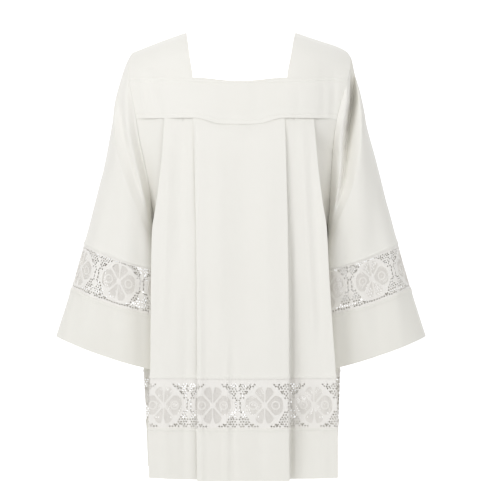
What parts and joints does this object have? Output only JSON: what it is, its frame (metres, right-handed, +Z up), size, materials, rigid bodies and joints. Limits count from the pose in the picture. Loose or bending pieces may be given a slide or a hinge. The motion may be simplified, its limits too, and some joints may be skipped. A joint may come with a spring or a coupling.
{
  "type": "surplice",
  "caption": "Hip-length liturgical surplice with a square neck yoke, a pleated body, wide set-in sleeves, and lace insertion above plain hem and cuff bands.",
  "frame": {"origin": "midway between the tops of the shoulders, where the wearer's shoulders carry the garment", "axes": "+Z up, -Y out of the garment's front, +X towards the wearer's left sleeve"},
  "size_m": [0.7752, 0.2902, 0.9276],
  "materials": {
    "crepe": "matte ivory crepe with a soft sheen",
    "hem_crepe": "matte ivory crepe, double thickness at the hem and cuff bands",
    "lace": "matte white open lace"
  },
  "bodies": {
    "root": {"yoke_front": "crepe", "yoke_back": "crepe", "body_front": "crepe", "body_back": "crepe", "body_lace_front": "lace", "body_lace_back": "lace", "hem_front": "hem_crepe", "hem_back": "hem_crepe", "sleeve_left": "crepe", "sleeve_right": "crepe", "sleeve_lace_left_front": "lace", "sleeve_lace_left_back": "lace", "sleeve_lace_right_front": "lace", "sleeve_lace_right_back": "lace", "cuff_left": "hem_crepe", "cuff_right": "hem_crepe"}
  },
  "joints": []
}
